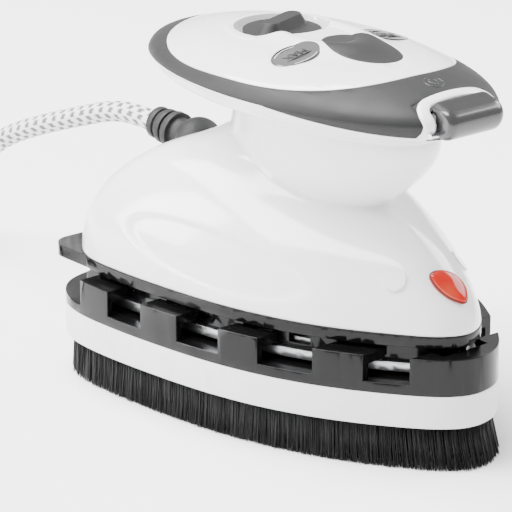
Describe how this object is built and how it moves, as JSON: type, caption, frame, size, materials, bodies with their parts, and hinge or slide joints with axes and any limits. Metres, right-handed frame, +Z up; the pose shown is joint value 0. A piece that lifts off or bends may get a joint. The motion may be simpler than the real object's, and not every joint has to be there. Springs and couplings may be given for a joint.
{
  "type": "handheld steam iron",
  "caption": "Compact handheld steam iron with mushroom handle, temperature dial, steam button, front filler cap, clip-on brush and a coiled textile lead.",
  "frame": {"origin": "under the middle of the object, without its lead, on the surface that the bristle tips stand on", "axes": "+X towards the nose, +Y to the left seen from behind, +Z up"},
  "size_m": [0.3388, 0.1313, 0.1078],
  "materials": {
    "white_gloss": "gloss",
    "grey_grip": "soft matte",
    "grey_gloss": "gloss",
    "window_grey": "smoky, translucent",
    "red_lens": "clear red",
    "glass_clear": "clear",
    "black_gloss": "gloss",
    "ring_white": "satin",
    "bristle_black": "fine nylon filaments",
    "aluminium": "satin",
    "steel": "bright",
    "brass": "satin",
    "clear_plastic": "clear",
    "silicone": "matte",
    "black_matte": "matte",
    "textile_cord": "braided, white with grey flecks",
    "chrome_pin": "bright"
  },
  "bodies": {
    "iron": {"body_shell": "white_gloss", "screw_covers": "white_gloss", "indicator_lens": "red_lens", "neon_lamp": "glass_clear", "handle_lower_shell": "white_gloss", "front_grip_lower": "grey_grip", "handle_grip": "grey_grip", "handle_top_cover": "white_gloss", "level_window_right": "window_grey", "level_window_left": "window_grey", "filler_surround": "white_gloss", "cap_hinge_pin": "steel", "dial_scale_ring": "window_grey", "water_tank": "clear_plastic", "filler_seal": "silicone", "drip_tube": "silicone", "skirt": "black_gloss", "soleplate": "aluminium", "steam_chamber_cover": "aluminium", "heating_element": "steel", "element_terminals": "steel", "thermostat": "steel", "thermal_fuse": "black_matte", "valve_seat": "brass", "soleplate_screws": "steel", "terminal_block": "black_matte", "swivel_socket": "black_matte", "cord_clamp": "black_matte", "button_spring": "steel"},
    "dial": {"temperature_dial": "grey_grip", "dial_shaft": "steel", "dial_clip": "steel"},
    "button": {"steam_button": "grey_grip", "valve_rod": "steel"},
    "cap": {"filler_cap": "grey_gloss"},
    "brush": {"brush_frame": "black_gloss", "bristle_block": "ring_white", "bristles": "bristle_black", "brush_screws": "steel"},
    "lead": {"cord_guard": "grey_grip", "cord": "textile_cord", "cord_coil": "textile_cord", "coil_tie": "black_gloss", "cord_tail": "textile_cord", "plug_body": "black_matte", "plug_pins": "chrome_pin"}
  },
  "joints": [
    {"name": "dial_turn", "type": "hinge", "parent": "iron", "child": "dial", "pos_m": [-0.0125, 0, 0.104], "axis": [0, 0, 1], "range_deg": [-130, 130]},
    {"name": "button_press", "type": "slide", "parent": "iron", "child": "button", "axis": [0, 0, -1], "range_m": [0, 0.0025], "stiffness_N_per_m": 400, "springref_m": -0.001, "deforming": ["button_spring"]},
    {"name": "cap_open", "type": "hinge", "parent": "iron", "child": "cap", "pos_m": [0.061, 0, 0.0928], "axis": [0, 1, 0], "range_deg": [0, 85]},
    {"name": "brush_slide", "type": "slide", "parent": "iron", "child": "brush", "axis": [1, 0, 0], "range_m": [0, 0.15]},
    {"name": "lead_swivel", "type": "hinge", "parent": "iron", "child": "lead", "pos_m": [-0.0493, 0, 0.0635], "axis": [0, 0, 1], "range_deg": [-20, 20]}
  ]
}
